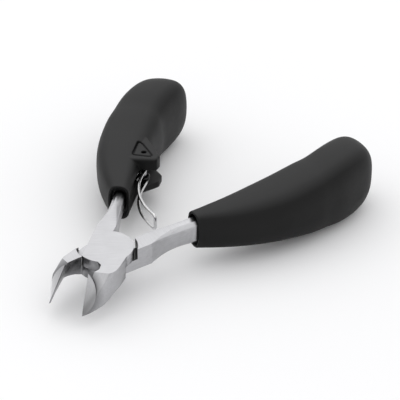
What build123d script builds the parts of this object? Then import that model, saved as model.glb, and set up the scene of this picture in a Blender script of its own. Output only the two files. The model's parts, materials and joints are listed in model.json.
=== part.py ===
from build123d import *
from math import copysign, cos, pi, radians, sin
import os

# Plier-style nail clipper.  Millimetres, +Z up, levers lying in the XY plane, jaws towards -Y.
# Origin: on the pivot axis, on the flat top face of the lap joint.
# Everything is drawn closed, about the joint's mid-plane, as if its jaw or grip were on the
# right; pieces of the other hand are mirrored, and each half is then turned open about the pivot.

# --- opening and lap joint ---
HALF_OPENING = 16.0         # each lever's angle from closed, at rest
PLATE = 3.7                 # thickness of one lap plate, half of the joint
PARTING_GAP = 0.04          # play between the two plates
LAP_RADIUS = 9.0            # rounded edge of a lap plate
JAW_SHOULDER = 9.4          # hollow shoulder of a jaw, that the other plate turns in
SHANK_SHOULDER = 10.3       # the same on the shank side
MEETING_GAP = 0.03          # half gap between the closed cutting edges

# --- jaws ---
EDGE_START = Vector(0, -16.2, PLATE)        # upper end of the cutting edge
EDGE_TIP = Vector(0, -23.1, -8.0)           # point of the jaw
FRONT_CORNER = Vector(7.5, -14.6, PLATE)    # outer end of the ground front face
UPPER_CORNER_RADIUS = 4.0                   # rounding between front face and outer side
LOWER_CORNER_RADIUS = 2.0
HOLLOW_CORNER = Vector(9.5, -13.9, PLATE)   # line about which the hollow front is tilted
HOLLOW_DEPTH = 1.1                          # depth of the hollow front behind the edge start
HOLLOW_TIP_DEPTH = 0.45                     # the same at the point
BEVEL_RISE = 3.4                            # width of the lens-shaped edge bevel
JAW_BOTTOM = -8.4                           # lower limit of the jaw blank
JAW_SIDE = [(8.3, -3.5), (8.1, -8.0), (7.5, -12.6), (5.6, -16.2), (2.4, -20.5), (0, -23.4)]
UNDERSIDE = [(-9, -PLATE), (-13.2, -4.1), (-16.2, -6.2), (-20.6, -7.6), (-24, -8.2)]
TOP_BEVEL = [Vector(5.3, -7.5, PLATE), Vector(4.3, -12.0, PLATE), Vector(7.7, -9.0, 0.5)]
NOSE_BEVEL = [Vector(2.6, -15.6, PLATE), Vector(7.2, -12.4, 0.3), Vector(6.6, -15.1, -1.7)]
WIDE_MOUTH = [(0, -15.9), (1.6, -14.7), (2.5, -12.8), (2.2, -10.4), (0, -8.5)]
NARROW_MOUTH = [(0, -15.9), (0.35, -14.7), (0.4, -13.0), (0.35, -10.6), (0, -8.5)]
THROAT_FLOOR = [(0, -22.9), (2.8, -19.2), (6.3, -14.2), (4.0, -10.3), (0, -7.0)]
FLOOR_HEIGHT = -9.0

# --- shanks and tangs: outer and inner reach from x = 0, height, corner bevel, y ---
ROOT_Y = 12.0
PLATE_LEAN = 0.08           # inward lean of a lap plate's trimmed side, towards the jaws
UPPER_SHANK = [
    (6.9, 0.7, 2 * PLATE, 0.1, ROOT_Y),
    (6.8, 1.8, 2 * PLATE, 0.7, 17.5),
    (7.2, 3.3, 7.2, 1.2, 23.5),
]
LOWER_SHANK = [
    (8.4, 2.4, 2 * PLATE, 0.1, ROOT_Y),
    (7.5, 2.1, 7.5, 0.7, 17.5),
    (7.6, 2.8, 7.7, 1.2, 23.5),
]
COLLAR = Vector(6.41, 31.0)                 # centre of the grip's collar
GRIP_TILT = 9.2                             # outward tilt of the grip's axis
UPPER_TANG = [(0, 1.8, 7.2), (12, 1.6, 6.6), (50, 1.4, 5.0)]    # along the grip, half width, height
LOWER_TANG = [(0, 2.5, 8.0), (12, 1.9, 6.8), (50, 1.4, 5.0)]
TANG_BEVEL = 1.1

# --- grips ---
GRIP_CORNER = 2.9           # exponent of the rounded-rectangle section
GRIP_STATIONS = [           # along the axis, reach inwards, reach outwards, half height
    (0.0, 3.6, 3.6, 6.4),
    (4.3, 3.8, 5.7, 6.9),
    (8.6, 4.1, 7.7, 7.4),
    (14.4, 4.5, 9.8, 8.1),
    (21.6, 5.2, 11.6, 9.0),
    (28.8, 6.0, 12.5, 9.8),
    (36.0, 6.8, 12.5, 10.7),
    (43.2, 7.6, 11.8, 11.5),
    (50.4, 8.8, 10.4, 12.4),
    (57.6, 10.9, 8.5, 12.8),
    (62.6, 12.3, 6.6, 12.2),
    (67.0, 12.5, 4.0, 10.4),
    (69.8, 11.2, 1.0, 7.6),
    (71.3, 9.5, -1.7, 4.8),
]
GRIP_END = (72.0, 5.8)      # rounded end: along the axis, towards the other grip
SECTION_POINTS = 20
RIM_DEPTH = 1.6             # recess around the tang in the collar
RIM_WALL = 0.8

# --- spring lug and pin ---
LUG_TOP = 8.0
LUG_BOTTOM = -6.2
LUG_ROUNDING = 0.9
UPPER_EAR = [(31.5, 3.8), (19.0, 10.8), (15.8, 10.0), (15.2, 0), (31.5, 0)]
LOWER_EAR = [(33, 4.2), (24.6, 10.4), (20.8, 10.0), (15.0, 3.4), (15.0, 0), (33, 0)]
PANEL = [(28.6, 2.1), (17.9, 1.1), (17.3, 9.2)]
PANEL_GROOVE = (0.6, 0.6)   # width and depth
SLOT = [(0, 3.5), (3.5, 2.5), (26, 2.2), (32, 14), (0, 14)]
SLOT_HALF_HEIGHT = 3.5
PIN_ALONG = 20.3            # pin position along the grip's axis, from the collar
PIN_INWARD = 5.0            # and towards the other grip
PIN_RADIUS = 0.9
PIN_HIGH = 5.6
PIN_LOW = -5.4

# --- spring ---
WIRE_RADIUS = 0.52
COIL_RADIUS = PIN_RADIUS + WIRE_RADIUS + 0.04
COIL_PITCH = 0.94
LEG_HEIGHT = 2.7            # height of a spring leg above the mid-plane
LEG_STRAIGHT = 5.5          # straight stretch of a leg below its coil
LEG_BEND_RADIUS = 28.0
LEG_BEND = 48.0
FOOT_RUN = 3.8              # straight stretch from the bend to the crossbar
FOOT_RADIUS = 1.2
TAIL_LENGTH = 4.0

# --- pivot screw ---
SCREW_RADIUS = 2.25
SCREW_CLEARANCE = 0.05
HEAD_RADIUS = 3.6
HEAD_HEIGHT = 1.5
HEAD_SUNK = 0.1
THREAD_RADIUS = 2.0
THREAD_CLEARANCE = 0.02
THREAD_DEPTH = 2.4
DRIVE_SLOT = (0.9, 0.7)     # width and depth

OPEN_LEFT = Location((0, 0, -PLATE), (0, 0, HALF_OPENING))
OPEN_RIGHT = Location((0, 0, -PLATE), (0, 0, -HALF_OPENING))
SIDES = Plane.YZ
UPWARDS = (Align.CENTER, Align.CENTER, Align.MIN)
TALL = 60


def flat(points):
    """Closed face on the mid-plane through straight edges."""
    return make_face(Polyline(*points, close=True))


def prism(face, low, high):
    """Upright prism of a mid-plane face between two heights."""
    return extrude(Pos(0, 0, low) * face, amount=high - low, dir=(0, 0, 1))


def beyond(plane):
    """Large block on the positive side of a plane."""
    return plane * Box(TALL, TALL, TALL, align=UPWARDS)


def other_hand(shape):
    """The same shape on the other side of the closed centre plane."""
    return mirror(shape, about=SIDES)


# ---------------------------------------------------------------- levers

def jaw_blank():
    """Jaw before grinding: curved outer side, arched underside."""
    outline = make_face([Spline(*JAW_SIDE), Polyline(JAW_SIDE[-1], (0, 0), JAW_SIDE[0])])
    blank = prism(outline, JAW_BOTTOM, PLATE)
    arch = Spline(*UNDERSIDE, tangents=[(-1, 0), (-1, -0.15)])
    end_y = UNDERSIDE[-1][0]
    deep = 2 * JAW_BOTTOM
    below = Polyline(UNDERSIDE[-1], (end_y, deep), (-4, deep), (-4, -PLATE), UNDERSIDE[0])
    return blank - extrude(SIDES * make_face([arch, below]), amount=TALL / 2, both=True)


def jaw_shape(corner_radius):
    """Right-hand jaw: a claw that bends down to a point and is hollow in front."""
    along_edge = (EDGE_TIP - EDGE_START).normalized()
    normal = along_edge.cross(FRONT_CORNER - EDGE_START).normalized()
    ground = jaw_blank() - beyond(Plane(origin=EDGE_START, x_dir=along_edge, z_dir=normal))
    corner = ground.edges().sort_by_distance(FRONT_CORNER - Vector(0.6, 0.4, 3))[0]
    ground = fillet(corner, corner_radius)

    sunk_start = EDGE_START - normal * HOLLOW_DEPTH
    sunk_tip = EDGE_TIP - normal * HOLLOW_TIP_DEPTH
    hollow_normal = (sunk_tip - sunk_start).cross(HOLLOW_CORNER - sunk_start)
    hollow = beyond(Plane(origin=sunk_tip, x_dir=sunk_tip - sunk_start, z_dir=hollow_normal))

    half = (EDGE_TIP - EDGE_START).length / 2
    radius = (half**2 + BEVEL_RISE**2) / (2 * BEVEL_RISE)
    towards_edge = normal.cross(along_edge)
    centre = EDGE_START + along_edge * half - towards_edge * (radius - BEVEL_RISE)
    lens = Plane(origin=centre, x_dir=along_edge, z_dir=normal) * Cylinder(radius, TALL)
    return ground - (hollow - lens)


def above(first, second, third):
    """Block above the sloping plane through three points."""
    normal = (second - first).cross(third - first)
    return beyond(Plane(origin=first, x_dir=second - first, z_dir=normal if normal.Z > 0 else -normal))


def throat(mouth):
    """Space behind one cutting edge, wider below than above, round the other plate."""
    sections = []
    for points, height in ((mouth, PLATE), (THROAT_FLOOR, FLOOR_HEIGHT)):
        sections.append(Pos(0, 0, height) * flat(points + [(-1, points[-1][1]), (-1, points[0][1])]))
    return loft(sections, ruled=True) - Cylinder(LAP_RADIUS, TALL)


def trimmed_side(outer, y):
    """Point on the trimmed side of a lap plate."""
    return (PLATE_LEAN * (ROOT_Y - y) - outer, y)


def plate_outline(outer, inner):
    """Lap plate of a lever: a disc trimmed on its shank side and joined to the shank."""
    back = trimmed_side(outer, ROOT_Y)
    trim = flat([back, trimmed_side(outer, -8), (-20, -8), (-20, ROOT_Y)])
    link = flat([back, trimmed_side(outer, 0), (0, 0), (-inner, 8.5), (-inner, ROOT_Y)])
    return (Circle(LAP_RADIUS) - trim) + link


def tang_section(outer, inner, height, bevel, y):
    """Bevelled rectangle across the shank, between two distances from x = 0."""
    outline = Rectangle(outer - inner, height)
    outline = chamfer(outline.vertices(), bevel)
    return Plane(origin=(-(outer + inner) / 2, y, 0), x_dir=(1, 0, 0), z_dir=(0, 1, 0)) * outline


def tang_shape(shank, tang):
    """Left-hand shank and tang: a smooth waisted bar that runs on straight inside the grip."""
    tilt = radians(GRIP_TILT)
    stations = list(shank)
    for along, half_width, height in tang:
        x = COLLAR.X + along * sin(tilt)
        y = COLLAR.Y + along * cos(tilt)
        stations.append((x + half_width, x - half_width, height, TANG_BEVEL, y))
    sections = [tang_section(*station) for station in stations]
    return loft(sections[:-1]) + loft(sections[-2:])


def lever(shank, tang, low, high, jaw, mouth):
    """Lever with its jaw on the right and its shank on the left; its plate lies from low to high."""
    outer, inner = shank[0][:2]
    root = flat([trimmed_side(outer, ROOT_Y), trimmed_side(outer, 4), (-inner, 4), (-inner, ROOT_Y)])
    slab = Pos(0, 0, low) * Box(TALL, TALL, high - low, align=UPWARDS)
    shoulder = Cylinder(JAW_SHOULDER, TALL)
    body = (jaw - shoulder) + (jaw & slab & shoulder)
    body += prism(plate_outline(outer, inner), low, high)
    body += prism(root, -PLATE, PLATE) - Cylinder(SHANK_SHOULDER, TALL)
    body += tang_shape(shank, tang)
    across = Pos(MEETING_GAP, 0, 0) * Box(TALL, TALL, TALL, align=(Align.MAX, Align.MAX, Align.CENTER))
    return body - (across - Cylinder(LAP_RADIUS, TALL)) - throat(mouth)


# ---------------------------------------------------------------- grips

def grip_point(along, inward):
    """Point beside the grip's axis."""
    tilt = radians(GRIP_TILT)
    x = COLLAR.X + along * sin(tilt) - inward * cos(tilt)
    y = COLLAR.Y + along * cos(tilt) + inward * sin(tilt)
    return (x, y)


def grip_plane(along, inward):
    """Plane across the grip's axis, its x axis pointing outwards."""
    tilt = radians(GRIP_TILT)
    x, y = grip_point(along, inward)
    return Plane(origin=(x, y, 0), x_dir=(cos(tilt), -sin(tilt), 0), z_dir=(sin(tilt), cos(tilt), 0))


def grip_section(along, inner, outer, half_height, shrink=0.0):
    """Rounded-rectangle section across the grip's axis."""
    half_width = (inner + outer) / 2 - shrink
    points = []
    for step in range(SECTION_POINTS):
        angle = 2 * pi * (step + 0.5) / SECTION_POINTS
        across = abs(cos(angle)) ** (2 / GRIP_CORNER)
        up = abs(sin(angle)) ** (2 / GRIP_CORNER)
        x = copysign(half_width * across, cos(angle))
        y = copysign((half_height - shrink) * up, sin(angle))
        points.append((x, y))
    return grip_plane(along, (inner - outer) / 2) * make_face(Spline(*points, periodic=True))


def grip_body():
    """Grip without its lug: a smooth swelling form, hollowed around the tang at the collar."""
    sections = [grip_section(*station) for station in GRIP_STATIONS]
    shape = loft(sections + [Vertex(*grip_point(*GRIP_END), 0)])
    collar = grip_section(*GRIP_STATIONS[0], shrink=RIM_WALL)
    inwards = grip_plane(0, 0).z_dir
    return shape - extrude(collar, amount=RIM_DEPTH, dir=inwards)


def ear(points, tip_radius, height):
    """One ear of the spring lug, from the mid-plane to a height, with rounded tip and rim."""
    face = flat([grip_point(*point) for point in points])
    tips = face.vertices().sort_by_distance(grip_point(22, 14) + (0,))[:2]
    block = prism(fillet(tips, tip_radius), min(0, height), max(0, height))
    rim = block.faces().filter_by(Plane.XY).sort_by(lambda face: abs(face.center().Z))[-1]
    base = grip_point(PIN_ALONG, 0) + (height,)
    edges = rim.edges().sort_by_distance(base)[1:]
    return fillet(edges, LUG_ROUNDING)


def pin_axis():
    """Location of the spring pin."""
    x, y = grip_point(PIN_ALONG, PIN_INWARD)
    return Pos(x, y, 0)


def grip_with_lug():
    """Grip that carries the spring: lug, slot, engraved triangle and pin hole."""
    shape = grip_body() + ear(UPPER_EAR, 1.6, LUG_TOP) + ear(LOWER_EAR, 1.4, LUG_BOTTOM)
    shape -= prism(flat([grip_point(*point) for point in SLOT]), -SLOT_HALF_HEIGHT, SLOT_HALF_HEIGHT)
    width, depth = PANEL_GROOVE
    panel = flat([grip_point(*point) for point in PANEL])
    panel = fillet(panel.vertices(), 1.1)
    shape -= prism(panel - offset(panel, -width), LUG_TOP - depth, TALL)
    return shape - pin_axis() * Cylinder(PIN_RADIUS, TALL)


# ---------------------------------------------------------------- spring

def spring_pin():
    """Steel pin through both ears, its ends a little below the surface."""
    return pin_axis() * Pos(0, 0, PIN_LOW) * Cylinder(PIN_RADIUS, PIN_HIGH - PIN_LOW, align=UPWARDS)


def spring_leg(side):
    """Centre line of one leg: start at the coil, three points of the bend, and the foot."""
    pin = pin_axis().position
    z = side * LEG_HEIGHT
    x = pin.X - COIL_RADIUS
    y = pin.Y - LEG_STRAIGHT
    bend = []
    for share in (0, 0.5, 1):
        angle = radians(LEG_BEND * share)
        bend.append((x - LEG_BEND_RADIUS * (1 - cos(angle)), y - LEG_BEND_RADIUS * sin(angle), z))
    last = radians(LEG_BEND)
    foot = (bend[2][0] - FOOT_RUN * sin(last), bend[2][1] - FOOT_RUN * cos(last), z)
    return (x, pin.Y, z), bend, foot


def spring():
    """Double torsion spring: coils round the pin, two legs and a crossbar between their feet."""
    top, upper_bend, upper_foot = spring_leg(1)
    bottom, lower_bend, lower_foot = spring_leg(-1)
    loop = FilletPolyline(upper_bend[2], upper_foot, lower_foot, lower_bend[2], radius=FOOT_RADIUS)
    path = Wire([
        Line(top, upper_bend[0]),
        ThreePointArc(*upper_bend),
        *loop.edges(),
        ThreePointArc(*reversed(lower_bend)),
        Line(lower_bend[0], bottom),
    ])
    shape = sweep(Plane(origin=top, z_dir=(0, -1, 0)) * Circle(WIRE_RADIUS), path=path)
    inner = LEG_HEIGHT - COIL_PITCH
    wire = Circle(WIRE_RADIUS)
    turns = Pos(COIL_RADIUS, LEG_HEIGHT) * wire + Pos(COIL_RADIUS, inner) * wire
    coil = revolve(Plane.XZ * turns, Axis.Z)
    coil += Pos(COIL_RADIUS, TAIL_LENGTH / 2, inner) * Rot(90, 0, 0) * Cylinder(WIRE_RADIUS, TAIL_LENGTH)
    return shape + pin_axis() * coil + pin_axis() * mirror(coil, about=Plane.XY)


# ---------------------------------------------------------------- pivot

def pivot_screw():
    """Shouldered screw put in from below: slotted head, plain shank, threaded end."""
    head_low = HEAD_SUNK - PLATE
    head = Pos(0, 0, head_low) * Cylinder(HEAD_RADIUS, HEAD_HEIGHT, align=UPWARDS)
    shank = Pos(0, 0, head_low) * Cylinder(SCREW_RADIUS, PARTING_GAP / 2 - head_low, align=UPWARDS)
    thread = Cylinder(THREAD_RADIUS, PARTING_GAP / 2 + THREAD_DEPTH, align=UPWARDS)
    width, depth = DRIVE_SLOT
    slot = Pos(0, 0, head_low) * Box(3 * HEAD_RADIUS, width, 2 * depth)
    return head + shank + thread - slot


def running_bore():
    """Bore and counterbore in the lower lever."""
    head = Pos(0, 0, -2 * PLATE) * Cylinder(
        HEAD_RADIUS + 2 * SCREW_CLEARANCE, PLATE + HEAD_SUNK + HEAD_HEIGHT + SCREW_CLEARANCE, align=UPWARDS
    )
    return head + Cylinder(SCREW_RADIUS + SCREW_CLEARANCE, TALL)


def threaded_bore():
    """Blind hole in the underside of the upper lever's plate."""
    depth = PARTING_GAP / 2 + THREAD_DEPTH + THREAD_CLEARANCE
    return Cylinder(THREAD_RADIUS + THREAD_CLEARANCE, depth, align=UPWARDS)


def upper_lever():
    """Lever whose plate lies on top; its underside takes the screw's thread."""
    jaw = jaw_shape(UPPER_CORNER_RADIUS)
    return lever(UPPER_SHANK, UPPER_TANG, PARTING_GAP / 2, PLATE, jaw, WIDE_MOUTH) - threaded_bore()


def lower_lever():
    """Lever whose plate lies below, bored for the screw; its jaw is bevelled along the top."""
    jaw = jaw_shape(LOWER_CORNER_RADIUS) - above(*TOP_BEVEL) - above(*NOSE_BEVEL)
    return lever(LOWER_SHANK, LOWER_TANG, -PLATE, -PARTING_GAP / 2, jaw, NARROW_MOUTH) - running_bore()


if __name__ == "__main__":
    os.makedirs("parts", exist_ok=True)
    left_grip = grip_with_lug() - other_hand(tang_shape(UPPER_SHANK, UPPER_TANG))
    right_grip = grip_body() - other_hand(tang_shape(LOWER_SHANK, LOWER_TANG))
    pieces = {
        "upper_lever": OPEN_LEFT * upper_lever(),
        "lower_lever": OPEN_RIGHT * other_hand(lower_lever()),
        "pivot_screw": OPEN_LEFT * pivot_screw(),
        "left_grip": OPEN_LEFT * other_hand(left_grip),
        "right_grip": OPEN_RIGHT * right_grip,
        "spring_pin": OPEN_LEFT * other_hand(spring_pin()),
        "opening_spring": OPEN_LEFT * other_hand(spring()),
    }
    for name, piece in pieces.items():
        print(name, len(piece.solids()), round(piece.volume, 1), piece.is_valid)
        export_step(piece, f"parts/{name}.step")
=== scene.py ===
import json
from math import cos, pi, radians, sin

import bmesh
import bpy
from mathutils import Matrix, Vector


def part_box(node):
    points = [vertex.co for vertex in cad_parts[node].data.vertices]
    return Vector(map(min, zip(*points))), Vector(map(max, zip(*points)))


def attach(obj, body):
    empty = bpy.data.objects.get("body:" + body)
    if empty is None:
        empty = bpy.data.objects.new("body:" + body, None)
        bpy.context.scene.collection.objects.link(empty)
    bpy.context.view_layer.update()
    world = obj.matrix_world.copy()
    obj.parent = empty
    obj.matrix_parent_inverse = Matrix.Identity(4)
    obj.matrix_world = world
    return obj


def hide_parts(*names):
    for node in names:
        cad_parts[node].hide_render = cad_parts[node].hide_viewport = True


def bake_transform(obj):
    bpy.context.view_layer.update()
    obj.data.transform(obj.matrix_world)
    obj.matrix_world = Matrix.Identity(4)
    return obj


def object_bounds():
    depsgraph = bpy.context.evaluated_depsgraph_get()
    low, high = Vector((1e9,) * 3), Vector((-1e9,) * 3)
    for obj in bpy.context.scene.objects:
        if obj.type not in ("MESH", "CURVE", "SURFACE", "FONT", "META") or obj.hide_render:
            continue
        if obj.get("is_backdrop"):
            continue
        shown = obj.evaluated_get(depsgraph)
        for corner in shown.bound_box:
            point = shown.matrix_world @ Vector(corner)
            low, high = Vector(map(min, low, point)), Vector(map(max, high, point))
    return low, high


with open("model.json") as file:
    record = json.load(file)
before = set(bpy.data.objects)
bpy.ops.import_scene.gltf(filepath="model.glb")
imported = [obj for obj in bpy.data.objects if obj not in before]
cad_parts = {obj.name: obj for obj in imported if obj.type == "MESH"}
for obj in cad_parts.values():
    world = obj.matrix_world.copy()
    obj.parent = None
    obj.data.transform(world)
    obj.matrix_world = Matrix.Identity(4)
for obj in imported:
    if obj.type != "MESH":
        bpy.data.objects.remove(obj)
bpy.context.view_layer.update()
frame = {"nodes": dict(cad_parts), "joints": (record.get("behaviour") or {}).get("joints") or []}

# Plier-style nail clipper: satin steel levers, moulded black grips, bright wire spring.
# Metres, in the CAD model's frame: +Z up, jaws towards -Y, pivot axis on the origin.

MM = 0.001

# --- spring: the CAD model's sizes, with its coils drawn as a helix ---
WIRE_RADIUS = 0.52 * MM
COIL_RADIUS = 1.46 * MM
COIL_TURNS = 1.5
COIL_PITCH = 1.06 * MM
LEG_HEIGHT = 2.7 * MM
LEG_STRAIGHT = 5.5 * MM
LEG_BEND_RADIUS = 28.0 * MM
LEG_BEND = radians(48.0)
FOOT_RUN = 3.8 * MM
FOOT_RADIUS = 1.2 * MM
TAIL_LENGTH = 4.0 * MM
WIRE_SIDES = 20
TAIL_STEPS = 5
COIL_STEPS = 60
STRAIGHT_STEPS = 8
BEND_STEPS = 24
RUN_STEPS = 4
FOOT_STEPS = 6
PIN_SHADE_RANGE = (2.2 * MM, 3.4 * MM)           # distances from the pin where the wire's painted shade gives way to bright steel

# --- levers, as in the CAD model ---
SHOULDER_RANGE = (9.25 * MM, 10.6 * MM)     # distances of the hollow shoulders from the pivot axis
EDGE_START = (0, -16.2, 0)                  # upper end of a closed jaw's cutting edge, in millimetres
EDGE_TIP = (0, -23.1, -11.7)                # point of the jaw
FRONT_CORNER = (7.5, -14.6, 0)              # outer end of its ground front face
BEVEL_RISE = 3.4 * MM                       # width of its lens-shaped bevel
LEDGE_HEIGHT = -3.0 * MM                    # faces of the lower plate lie below this
FRONT_LIMIT = -12 * MM                      # a jaw's ground front lies before this, along Y
LENS_REFLECTION_HEIGHTS = (-2 * MM, -11 * MM)         # the lens turns to its painted reflection grey between these, towards the point
HOLLOW_SHADE = 2.6 * MM                     # reach of the painted shade in the hollow beside the lens
JAW_START = (-8.5 * MM, -9.5 * MM)          # a jaw's inside takes its painted shade between these, along Y
INSIDE_HEIGHTS = (-5 * MM, -8 * MM)         # and fades towards the point between these heights
THROAT_REACH = (10 * MM, 10.5 * MM)         # the throat's wall lies within this of the pivot axis
GRIND_ANGLE = radians(56.6)                 # direction of the grinding on the flat faces
EDGE_WIDTH = 0.14 * MM                      # rounding of the steel edges

# --- grips ---
GRIP_VOXEL = 0.22 * MM                      # finest detail of the softened moulding
SOFTEN_STEPS = 4

# --- camera and floor ---
AIM = Vector((18.4, 26.3, 9.8)) * MM
AZIMUTH = radians(33.4)
ELEVATION = radians(32.2)
DISTANCE = 672 * MM
LENS = 190.0
FLOOR_SIZE = 6.0

# --- light ---
ROOM_LIGHT = 1.06
HORIZON_LEVEL = 0.4
SOFTBOX_PLACE = (-0.15, 0.25, 0.8)
SOFTBOX_SIZE = (0.9, 0.9)
SOFTBOX_POWER = 1.0


# ---------------------------------------------------------------- node helpers

class Shader:
    """A material's node tree, with short calls for the nodes used here."""

    def __init__(self, name):
        self.material = bpy.data.materials.new(name)
        self.material.use_nodes = True
        self.nodes = self.material.node_tree.nodes
        self.links = self.material.node_tree.links
        self.surface = self.nodes["Principled BSDF"]
        coordinates = self.nodes.new("ShaderNodeTexCoord")
        self.place = coordinates.outputs["Object"]
        self.normal = coordinates.outputs["Normal"]

    def link(self, output, node, socket):
        self.links.new(output, node.inputs[socket])

    def scaled(self, x, y, z, turn=0.0):
        """Object coordinates turned about Z and then scaled along each axis."""
        turned = self.nodes.new("ShaderNodeMapping")
        turned.inputs["Rotation"].default_value = (0, 0, turn)
        self.link(self.place, turned, "Vector")
        stretched = self.nodes.new("ShaderNodeMapping")
        stretched.inputs["Scale"].default_value = (x, y, z)
        self.link(turned.outputs["Vector"], stretched, "Vector")
        return stretched.outputs["Vector"]

    def noise(self, vector, scale, detail=4.0, roughness=0.55):
        node = self.nodes.new("ShaderNodeTexNoise")
        node.inputs["Scale"].default_value = scale
        node.inputs["Detail"].default_value = detail
        node.inputs["Roughness"].default_value = roughness
        self.link(vector, node, "Vector")
        return node.outputs["Fac"]

    def range(self, value, low, high, to_low, to_high):
        node = self.nodes.new("ShaderNodeMapRange")
        limits = {"From Min": low, "From Max": high, "To Min": to_low, "To Max": to_high}
        for socket, number in limits.items():
            node.inputs[socket].default_value = number
        self.link(value, node, "Value")
        return node.outputs["Result"]

    def maths(self, operation, a, b):
        node = self.nodes.new("ShaderNodeMath")
        node.operation = operation
        for index, value in enumerate((a, b)):
            if isinstance(value, (int, float)):
                node.inputs[index].default_value = value
            else:
                self.links.new(value, node.inputs[index])
        return node.outputs["Value"]

    def vectors(self, operation, a, b=None):
        node = self.nodes.new("ShaderNodeVectorMath")
        node.operation = operation
        self.links.new(a, node.inputs[0])
        if isinstance(b, tuple):
            node.inputs[1].default_value = b
        elif b is not None:
            self.links.new(b, node.inputs[1])
        return node.outputs["Value" if operation in ("DOT_PRODUCT", "LENGTH") else "Vector"]

    def in_lever(self, angle):
        """X, Y and Z, apart, in the frame of a lever turned by this angle."""
        node = self.nodes.new("ShaderNodeSeparateXYZ")
        self.link(self.scaled(1, 1, 1, -angle), node, "Vector")
        return node.outputs

    def upward(self):
        """How far a face looks up: 1 for the flat top, 0 for the sides."""
        node = self.nodes.new("ShaderNodeSeparateXYZ")
        self.link(self.normal, node, "Vector")
        return node.outputs["Z"]

    def openness(self, distance):
        """1 in the open, falling to 0 deep in a gap; the materials use it to paint shade."""
        node = self.nodes.new("ShaderNodeAmbientOcclusion")
        node.samples = 12
        node.inputs["Distance"].default_value = distance
        return node.outputs["AO"]

    def product(self, a, b):
        node = self.nodes.new("ShaderNodeMix")
        node.data_type = "RGBA"
        node.blend_type = "MULTIPLY"
        node.inputs[0].default_value = 1
        self.links.new(a, node.inputs[6])
        self.links.new(b, node.inputs[7])
        return node.outputs[2]

    def mixed(self, factor, a, b):
        node = self.nodes.new("ShaderNodeMix")
        node.data_type = "RGBA"
        self.links.new(factor, node.inputs[0])
        for index, colour in ((6, a), (7, b)):
            if isinstance(colour, tuple):
                node.inputs[index].default_value = (*colour, 1)
            else:
                self.links.new(colour, node.inputs[index])
        return node.outputs[2]

    def ramp(self, value, *stops):
        node = self.nodes.new("ShaderNodeValToRGB")
        elements = node.color_ramp.elements
        while len(elements) < len(stops):
            elements.new(0.5)
        for element, (position, colour) in zip(elements, stops):
            element.position = position
            element.color = (*colour, 1)
        self.link(value, node, "Fac")
        return node.outputs["Color"]

    def bump(self, height, distance, strength=1.0):
        node = self.nodes.new("ShaderNodeBump")
        node.inputs["Strength"].default_value = strength
        node.inputs["Distance"].default_value = distance
        self.link(height, node, "Height")
        self.link(node.outputs["Normal"], self.surface, "Normal")

    def set(self, **values):
        for name, value in values.items():
            self.surface.inputs[name.replace("_", " ")].default_value = value


def turned(point, angle):
    return Matrix.Rotation(angle, 3, "Z") @ Vector(point)


def grey(level):
    return (level, level, level * 1.01)


# ---------------------------------------------------------------- materials

def satin_steel(name, grind=0.0, angle=0.0, side=0, tip=0.5):
    """Ground stainless steel: fine grinding on the flat faces, lengthwise on the sides; painted light
    makes the flat faces lighter and the sides darker.

    side is 1 or -1 for the lever whose jaw lies towards +X or -X, tip the grey of the painted reflection
    on its lens towards the point."""
    shader = Shader(name)
    up = shader.upward()
    flat_grain = shader.noise(shader.scaled(1, 0.03, 0.4, grind), 5200, 3)
    side_grain = shader.noise(shader.scaled(1, 0.06, 0.35, -angle), 4200, 3)
    flatness = shader.range(up, 0.8, 0.95, 0, 1)
    grain = shader.maths("ADD", shader.maths("MULTIPLY", flat_grain, flatness),
                         shader.maths("MULTIPLY", side_grain, shader.maths("SUBTRACT", 1, flatness)))
    cloud = shader.noise(shader.place, 190, 3)

    # Painted light: flat faces lighter and sides darker, in place of the bright reflection from above and
    # the dimmer one at the sides.
    level = shader.ramp(up, (0.0, grey(0.48)), (0.3, grey(0.53)), (0.7, grey(0.60)), (0.95, grey(0.69)))
    streaks = shader.ramp(grain, (0.25, grey(0.84)), (0.75, grey(1.0)))
    brushed_and_painted_light = shader.product(level, streaks)
    brushed_and_painted_light = shader.product(brushed_and_painted_light, shader.ramp(cloud, (0.3, grey(0.94)), (0.7, grey(1.0))))
    if side:
        brushed_and_painted_light = ground_front(shader, brushed_and_painted_light, tip, side, angle)
        # Painted shade: shoulders, ledge, throat and the jaw's inside painted near black for the shade in
        # these gaps.
        brushed_and_painted_light = shader.mixed(painted_shade_mask(shader, up, side, angle), brushed_and_painted_light, grey(0.035))

    # Painted shade: near black deep in gaps and corners.
    crevice_shade = shader.range(shader.openness(2.6 * MM), 0.3, 0.85, 0, 1)
    shader.link(shader.mixed(crevice_shade, grey(0.03), brushed_and_painted_light), shader.surface, "Base Color")
    wear = shader.maths("ADD", shader.maths("MULTIPLY", grain, 0.5), shader.maths("MULTIPLY", cloud, 0.5))
    shader.link(shader.range(wear, 0.3, 0.7, 0.26, 0.37), shader.surface, "Roughness")
    shader.bump(grain, 0.008 * MM, 0.5)
    shader.set(Metallic=1.0)
    return shader.material


def jaw_lens(side, angle):
    """Centre, axis and radius of the lens-shaped bevel along a jaw's edge; side is 1 or -1."""
    start, tip, corner = (Vector(point) * MM for point in (EDGE_START, EDGE_TIP, FRONT_CORNER))
    along = (tip - start).normalized()
    axis = along.cross(corner - start).normalized()
    half = (tip - start).length / 2
    radius = (half**2 + BEVEL_RISE**2) / (2 * BEVEL_RISE)
    centre = start + along * half - axis.cross(along) * (radius - BEVEL_RISE)
    centre.x *= side
    axis.x *= side
    return turned(centre, angle), turned(axis, angle), radius


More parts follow.
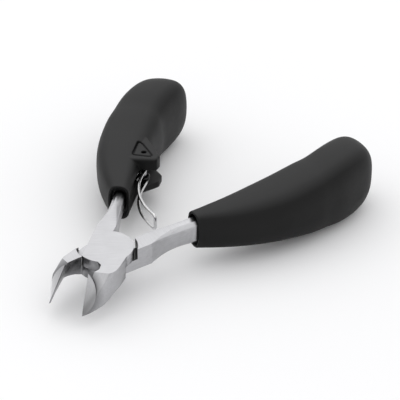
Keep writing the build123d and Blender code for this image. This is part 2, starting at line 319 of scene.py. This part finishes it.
def ground_front(shader, colour, tip, side, angle):
    """A jaw's front: its lens bevel painted with a reflection grey towards the point, and painted shade
    in the hollow beside the lens.
    """
    centre, axis, radius = jaw_lens(side, angle)
    place = shader.in_lever(angle)
    facing = shader.vectors("DOT_PRODUCT", shader.normal, tuple(turned((0, -1, 0), angle)))
    front = shader.range(facing, 0.4, 0.6, 0, 1)
    front = shader.maths("MULTIPLY", front, shader.maths("LESS_THAN", place["Y"], FRONT_LIMIT))

    offset = shader.vectors("SUBTRACT", shader.place, tuple(centre))
    across = shader.vectors("LENGTH", shader.vectors("CROSS_PRODUCT", offset, tuple(axis)))
    lens = shader.range(across, radius - 0.05 * MM, radius + 0.05 * MM, 1, 0)
    lower = shader.range(place["Z"], *LENS_REFLECTION_HEIGHTS, 0, 1)
    painted_lens_reflection = shader.maths("MULTIPLY", front, shader.maths("MULTIPLY", lens, lower))
    # Painted reflection: the lens bevel takes the tip grey towards the point.
    colour = shader.mixed(painted_lens_reflection, colour, grey(tip))
    # Painted shade: the hollow beside the lens darkens towards the lens's edge.
    shaded = shader.maths("MULTIPLY", shader.range(across, radius, radius + HOLLOW_SHADE, 0.65, 0),
                          shader.maths("SUBTRACT", 1, lens))
    return shader.mixed(shader.maths("MULTIPLY", front, shaded), colour, grey(0.07))


def painted_shade_mask(shader, up, side, angle):
    """Mask of a lever's painted shade: hollow shoulders, their ledge, the throat and the jaw's inside,
    painted dark as if in shade.
    """
    flat_place = shader.scaled(1, 1, 0)
    distance = shader.vectors("LENGTH", flat_place)
    beyond_plate = shader.maths("GREATER_THAN", distance, SHOULDER_RANGE[0])
    before_shank = shader.maths("LESS_THAN", distance, SHOULDER_RANGE[1])
    near_plate = shader.maths("MULTIPLY", beyond_plate, before_shank)
    facing = shader.vectors("DOT_PRODUCT", shader.vectors("NORMALIZE", flat_place), shader.normal)
    shoulder = shader.range(facing, -0.75, -0.6, 1, 0)

    place = shader.in_lever(angle)
    low_down = shader.maths("LESS_THAN", place["Z"], LEDGE_HEIGHT)
    ledge = shader.maths("MULTIPLY", low_down, shader.range(up, 0.85, 0.95, 0, 1))
    masked = shader.maths("MULTIPLY", near_plate, shader.maths("MAXIMUM", shoulder, ledge))

    inwards = tuple(turned((-side, 0, 0), angle))
    inner = shader.range(shader.vectors("DOT_PRODUCT", shader.normal, inwards), 0.35, 0.6, 0, 1)
    on_jaw = shader.range(place["Y"], *JAW_START, 0, 1)
    high_up = shader.range(place["Z"], *INSIDE_HEIGHTS, 1, 0.15)
    inside = shader.maths("MULTIPLY", shader.maths("MULTIPLY", inner, on_jaw), high_up)

    forwards = shader.vectors("DOT_PRODUCT", shader.normal, tuple(turned((0, -1, 0), angle)))
    plate_front = shader.maths("MULTIPLY", shader.range(forwards, 0.5, 0.8, 0, 0.75),
                               shader.range(distance, *THROAT_REACH, 1, 0))
    throat = shader.maths("MULTIPLY", plate_front, shader.range(up, 0.25, 0.4, 1, 0))
    # Noise makes this painted shade patchy.
    patchy_shade = shader.range(shader.noise(shader.place, 260, 4), 0.3, 0.7, 0.45, 1.0)
    inside = shader.maths("MULTIPLY", shader.maths("MAXIMUM", inside, throat), patchy_shade)
    return shader.maths("MAXIMUM", masked, inside)


def spring_wire(pin):
    """Bright drawn wire with faint lengthwise marks, painted dark for the shade where it is wound round
    the pin.
    """
    shader = Shader("spring_wire")
    marks = shader.noise(shader.scaled(1, 1, 0.3), 2500, 2)
    bright = shader.ramp(marks, (0.3, grey(0.55)), (0.7, grey(0.72)))
    shifted = shader.nodes.new("ShaderNodeMapping")
    shifted.inputs["Location"].default_value = (-pin.x, -pin.y, -pin.z)
    shader.link(shader.place, shifted, "Vector")
    flattened = shader.nodes.new("ShaderNodeMapping")
    flattened.inputs["Scale"].default_value = (1, 1, 0)
    shader.link(shifted.outputs["Vector"], flattened, "Vector")
    from_pin = shader.vectors("LENGTH", flattened.outputs["Vector"])
    # Painted shade: the coil round the pin, deep in the slot, is painted near black.
    bright = shader.mixed(shader.range(from_pin, *PIN_SHADE_RANGE, 0, 1), grey(0.05), bright)
    # Painted shade: the wire darker deep in the slot between the levers.
    crevice_shade = shader.range(shader.openness(6 * MM), 0.45, 0.8, 0, 1)
    shader.link(shader.mixed(crevice_shade, grey(0.015), bright), shader.surface, "Base Color")
    shader.link(shader.range(marks, 0.3, 0.7, 0.10, 0.18), shader.surface, "Roughness")
    shader.bump(marks, 0.01 * MM, 0.4)
    shader.set(Metallic=1.0)
    return shader.material


def soft_grip():
    """Soft-touch black rubber: fine even stipple, slight clouding, painted lighter on top where the light
    falls.
    """
    shader = Shader("soft_grip")
    stipple = shader.noise(shader.place, 3600, 2, 0.7)
    cloud = shader.noise(shader.place, 90, 4)
    # Painted light: the top faces lighter than the sides, as lit from above.
    level = shader.ramp(shader.upward(), (0.0, grey(0.002)), (0.5, grey(0.004)), (0.95, grey(0.023)))
    clouded_and_top_lit = shader.product(level, shader.ramp(cloud, (0.35, grey(0.85)), (0.65, grey(1.0))))
    # Painted shade: darker in the grip's creases and hollows.
    crevice_shade = shader.range(shader.openness(1.6 * MM), 0.2, 0.7, 0, 1)
    shader.link(shader.mixed(crevice_shade, grey(0.002), clouded_and_top_lit), shader.surface, "Base Color")
    wear = shader.maths("ADD", shader.maths("MULTIPLY", cloud, 0.6),
                        shader.maths("MULTIPLY", stipple, 0.4))
    shader.link(shader.range(wear, 0.35, 0.65, 0.50, 0.62), shader.surface, "Roughness")
    shader.bump(stipple, 0.02 * MM, 0.5)
    shader.set(Specular_IOR_Level=0.25)
    return shader.material


def floor_material():
    shader = Shader("floor")
    cloud = shader.noise(shader.place, 3, 2)
    level = shader.ramp(cloud, (0.3, grey(0.90)), (0.7, grey(0.92)))
    shader.link(level, shader.surface, "Base Color")
    shader.set(Roughness=0.9)
    return shader.material


# ---------------------------------------------------------------- pieces

def new_object(name, mesh):
    piece = bpy.data.objects.new(name, mesh)
    bpy.context.scene.collection.objects.link(piece)
    return piece


def smooth(mesh):
    for face in mesh.polygons:
        face.use_smooth = True


def dress(piece, material):
    piece.data.materials.clear()
    piece.data.materials.append(material)


def steel_part(node, material, edges=True):
    """Keeps a CAD lever, screw or pin, with its own finish and small rounded edges."""
    piece = frame["nodes"][node]
    for index in range(len(piece.material_slots)):
        piece.material_slots[index].material = material
    if edges:
        weld = piece.modifiers.new("weld", "WELD")
        weld.merge_threshold = 0.001 * MM
        planar = piece.modifiers.new("planar", "DECIMATE")
        planar.decimate_type = "DISSOLVE"
        planar.angle_limit = radians(0.5)
        bevel = piece.modifiers.new("rounded_edges", "BEVEL")
        bevel.width = EDGE_WIDTH
        bevel.segments = 2
        bevel.angle_limit = radians(24)
        bevel.harden_normals = True
        bevel.use_clamp_overlap = True


def moulded_grip(node, body, material):
    """Grip with the softly rounded edges of a rubber moulding, made from the CAD shape."""
    piece = new_object(node + "_moulded", frame["nodes"][node].data.copy())
    dress(piece, material)
    weld = piece.modifiers.new("weld", "WELD")
    weld.merge_threshold = 0.002 * MM
    remesh = piece.modifiers.new("remesh", "REMESH")
    remesh.mode = "VOXEL"
    remesh.voxel_size = GRIP_VOXEL
    remesh.use_smooth_shade = True
    soften = piece.modifiers.new("soften", "SMOOTH")
    soften.factor = 0.5
    soften.iterations = SOFTEN_STEPS
    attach(piece, body)
    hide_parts(node)


def spring_path(pin, half_opening):
    """Centre line of the whole spring: tail, coil, leg, crossbar, leg, coil, tail."""
    centre = turned(pin, -half_opening)
    side = []
    turns = 2 * pi * COIL_TURNS
    low = LEG_HEIGHT - COIL_TURNS * COIL_PITCH
    for step in range(TAIL_STEPS):
        side.append(Vector((-COIL_RADIUS, -TAIL_LENGTH * (1 - step / TAIL_STEPS), low)))
    for step in range(COIL_STEPS + 1):
        angle = turns * (1 - step / COIL_STEPS)
        height = LEG_HEIGHT - COIL_PITCH * angle / (2 * pi)
        side.append(Vector((COIL_RADIUS * cos(angle), COIL_RADIUS * sin(angle), height)))
    for step in range(1, STRAIGHT_STEPS):
        side.append(Vector((COIL_RADIUS, -LEG_STRAIGHT * step / STRAIGHT_STEPS, LEG_HEIGHT)))
    for step in range(BEND_STEPS + 1):
        angle = LEG_BEND * step / BEND_STEPS
        x = COIL_RADIUS + LEG_BEND_RADIUS * (1 - cos(angle))
        y = -LEG_STRAIGHT - LEG_BEND_RADIUS * sin(angle)
        side.append(Vector((x, y, LEG_HEIGHT)))
    run = Vector((sin(LEG_BEND), -cos(LEG_BEND), 0))
    start = side[-1].copy()
    straight = FOOT_RUN - FOOT_RADIUS
    for step in range(1, RUN_STEPS + 1):
        side.append(start + run * straight * step / RUN_STEPS)
    corner = side[-1].copy()
    for step in range(1, FOOT_STEPS + 1):
        angle = pi / 2 * step / FOOT_STEPS
        drop = Vector((0, 0, FOOT_RADIUS * (1 - cos(angle))))
        side.append(corner + run * FOOT_RADIUS * sin(angle) - drop)
    other = [Vector((point.x, point.y, -point.z)) for point in reversed(side)]
    points = side + [Vector((side[-1].x, side[-1].y, 0))] + other
    return [turned(centre + point, half_opening) for point in points]


def tube(name, points, radius, sides):
    """Round tube along a smooth path, closed by slightly domed ends."""
    shape = bmesh.new()
    before = points[:1] + points[:-1]
    after = points[1:] + points[-1:]
    tangents = [(second - first).normalized() for first, second in zip(before, after)]
    normal = tangents[0].orthogonal().normalized()
    rings = []
    for index, (point, tangent) in enumerate(zip(points, tangents)):
        if index:
            normal = (tangents[index - 1].rotation_difference(tangent) @ normal).normalized()
            normal = (normal - tangent * normal.dot(tangent)).normalized()
        across = tangent.cross(normal)
        ring = []
        for step in range(sides):
            angle = 2 * pi * step / sides
            ring.append(shape.verts.new(point + (normal * cos(angle) + across * sin(angle)) * radius))
        rings.append(ring)
    for first, second in zip(rings, rings[1:]):
        for step in range(sides):
            following = (step + 1) % sides
            shape.faces.new((first[step], first[following], second[following], second[step]))
    for ring, point, way in ((rings[0], points[0], -tangents[0]), (rings[-1], points[-1], tangents[-1])):
        tip = shape.verts.new(point + way * radius * 0.4)
        for step in range(sides):
            shape.faces.new((ring[step], ring[(step + 1) % sides], tip))
    bmesh.ops.recalc_face_normals(shape, faces=shape.faces[:])
    mesh = bpy.data.meshes.new(name)
    shape.to_mesh(mesh)
    shape.free()
    smooth(mesh)
    return new_object(name, mesh)


def wire_spring(half_opening):
    low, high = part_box("spring_pin")
    pin = Vector(((low[0] + high[0]) / 2, (low[1] + high[1]) / 2, frame_middle()))
    points = spring_path(pin, half_opening)
    piece = tube("wire_spring", points, WIRE_RADIUS, WIRE_SIDES)
    dress(piece, spring_wire(pin))
    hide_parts("opening_spring")
    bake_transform(piece)


def frame_middle():
    """Height of the lap joint's mid-plane: half way between the grips' top and bottom."""
    low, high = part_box("right_grip")
    return (low[2] + high[2]) / 2


# ---------------------------------------------------------------- studio

def area_light(name, place, target, size, power):
    light = bpy.data.lights.new(name, "AREA")
    light.shape = "RECTANGLE"
    light.size, light.size_y = size
    light.energy = power
    holder = bpy.data.objects.new(name, light)
    holder.location = place
    holder.rotation_euler = (Vector(target) - Vector(place)).to_track_quat("-Z", "Y").to_euler()
    bpy.context.scene.collection.objects.link(holder)


def studio():
    """Large pale floor, a soft white room and one softbox above."""
    world = bpy.data.worlds.new("studio")
    bpy.context.scene.world = world
    world.use_nodes = True
    nodes = world.node_tree.nodes
    links = world.node_tree.links
    background = nodes["Background"]
    height = nodes.new("ShaderNodeSeparateXYZ")
    links.new(nodes.new("ShaderNodeTexCoord").outputs["Generated"], height.inputs["Vector"])
    fade = nodes.new("ShaderNodeValToRGB")
    fade.color_ramp.elements[0].color = (*[HORIZON_LEVEL] * 3, 1)
    fade.color_ramp.elements[1].color = (1, 1, 1, 1)
    fade.color_ramp.elements[1].position = 0.5
    links.new(height.outputs["Z"], fade.inputs["Fac"])
    links.new(fade.outputs["Color"], background.inputs["Color"])
    background.inputs["Strength"].default_value = ROOM_LIGHT

    shape = bmesh.new()
    bmesh.ops.create_grid(shape, x_segments=1, y_segments=1, size=FLOOR_SIZE / 2)
    mesh = bpy.data.meshes.new("floor")
    shape.to_mesh(mesh)
    shape.free()
    floor = new_object("floor", mesh)
    floor.location.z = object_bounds()[0][2]
    floor.data.materials.append(floor_material())
    floor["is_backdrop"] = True

    area_light("top_softbox", SOFTBOX_PLACE, (0, 0.03, 0), SOFTBOX_SIZE, SOFTBOX_POWER)


def camera():
    back = Vector((sin(AZIMUTH) * cos(ELEVATION), -cos(AZIMUTH) * cos(ELEVATION), sin(ELEVATION)))
    eye = bpy.data.cameras.new("camera")
    eye.lens = LENS
    eye.sensor_width = 36
    eye.clip_start = 0.01
    holder = bpy.data.objects.new("camera", eye)
    holder.location = AIM + back * DISTANCE
    holder.rotation_euler = back.to_track_quat("Z", "Y").to_euler()
    bpy.context.scene.collection.objects.link(holder)
    bpy.context.scene.camera = holder


# ---------------------------------------------------------------- scene

half_opening = radians(frame["joints"][0]["range_deg"][1]) / 2
rubber = soft_grip()
steel_part("upper_lever", satin_steel("upper_steel", GRIND_ANGLE, half_opening, side=1, tip=0.25))
steel_part("lower_lever", satin_steel("lower_steel", -GRIND_ANGLE, -half_opening, side=-1, tip=0.95))
steel_part("pivot_screw", satin_steel("screw_steel"), edges=False)
steel_part("spring_pin", satin_steel("pin_steel"), edges=False)
moulded_grip("left_grip", "upper", rubber)
moulded_grip("right_grip", "lower", rubber)
wire_spring(half_opening)
studio()
camera()
bpy.context.scene.view_settings.view_transform = "Standard"
